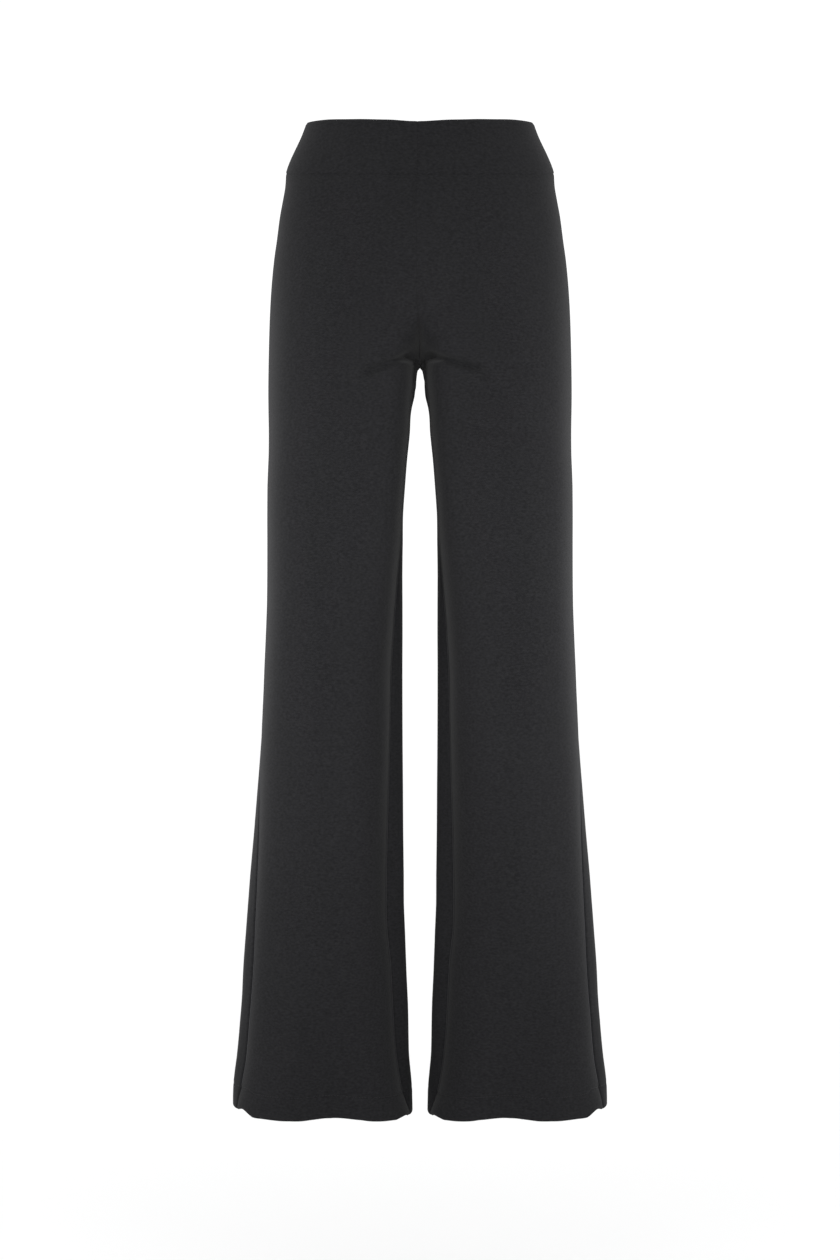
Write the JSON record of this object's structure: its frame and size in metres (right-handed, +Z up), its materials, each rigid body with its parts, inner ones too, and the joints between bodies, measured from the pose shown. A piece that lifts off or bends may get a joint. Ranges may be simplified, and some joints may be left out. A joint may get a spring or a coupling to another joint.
{
  "type": "palazzo trousers",
  "caption": "Wide-legged pull-on trousers in heavy knit with a wide plain waistband, hollow and filled out as when worn, open at the waist and at both hems.",
  "frame": {"origin": "middle of the waist opening, level with its top edge at the side seams, where the wearer's waist holds the trousers up", "axes": "+Z up the body, front facing -Y, the wearer's left at +X"},
  "size_m": [0.4044, 0.2404, 1.0799],
  "materials": {
    "leg_knit": "matt charcoal double-knit jersey with a soft sheen at grazing angles",
    "waistband_knit": "the same jersey, doubled and smooth"
  },
  "bodies": {
    "root": {"front_left": "leg_knit", "front_right": "leg_knit", "back_left": "leg_knit", "back_right": "leg_knit", "waistband_front_left": "waistband_knit", "waistband_front_right": "waistband_knit", "waistband_back": "waistband_knit"}
  },
  "joints": []
}
